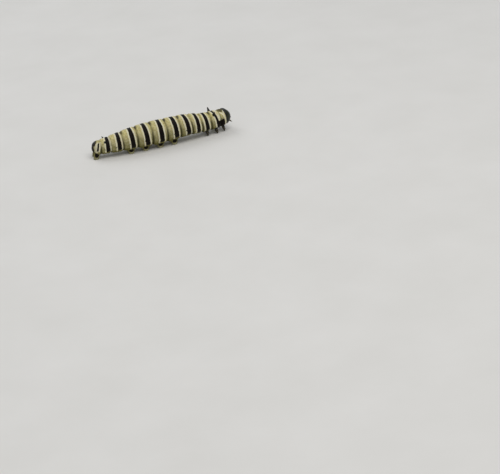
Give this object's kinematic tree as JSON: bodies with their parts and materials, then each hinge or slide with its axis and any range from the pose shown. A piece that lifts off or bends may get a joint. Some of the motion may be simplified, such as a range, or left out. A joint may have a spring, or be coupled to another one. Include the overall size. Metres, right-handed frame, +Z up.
{
  "type": "monarch larva",
  "caption": "Still, life-size model of a young striped butterfly larva: round body of ringed segments, black head, short soft horns, jointed legs and fleshy feet set flat on the floor.",
  "frame": {"origin": "on the floor, under the middle of the model's bounding box", "axes": "+X points from the tail to the head, along the body; +Y to the animal's left; +Z up from the soles of the feet to the back"},
  "size_m": [0.009, 0.0016, 0.0016],
  "materials": {
    "skin": "soft, finely creased skin with a low satin sheen; black and cream rings on grey-yellow",
    "plate": "hard dark plate, satin",
    "head": "hard black capsule with a greenish sheen, finely pitted",
    "mouth": "hard dark brown mouthparts, satin",
    "eye": "clear glossy black lenses",
    "leg": "hard black jointed legs, satin",
    "tentacle": "soft black horn, matt"
  },
  "bodies": {
    "root": {"abdomen_1": "skin", "abdomen_2": "skin", "abdomen_3": "skin", "abdomen_4": "skin", "abdomen_5": "skin", "abdomen_6": "skin", "abdomen_7": "skin", "abdomen_8": "skin", "abdomen_9": "skin", "abdomen_10": "skin", "metathorax": "skin", "mesothorax": "skin", "prothorax": "skin", "anal_plate": "plate", "head": "head", "labrum": "mouth", "labium": "mouth", "eyes_left": "eye", "antenna_left": "mouth", "mandible_left": "mouth", "maxilla_left": "mouth", "foreleg_left": "leg", "midleg_left": "leg", "hindleg_left": "leg", "proleg_3_left": "skin", "proleg_4_left": "skin", "proleg_5_left": "skin", "proleg_6_left": "skin", "anal_proleg_left": "skin", "tentacle_front_left": "tentacle", "tentacle_rear_left": "tentacle", "eyes_right": "eye", "antenna_right": "mouth", "mandible_right": "mouth", "maxilla_right": "mouth", "foreleg_right": "leg", "midleg_right": "leg", "hindleg_right": "leg", "proleg_3_right": "skin", "proleg_4_right": "skin", "proleg_5_right": "skin", "proleg_6_right": "skin", "anal_proleg_right": "skin", "tentacle_front_right": "tentacle", "tentacle_rear_right": "tentacle"}
  },
  "joints": []
}
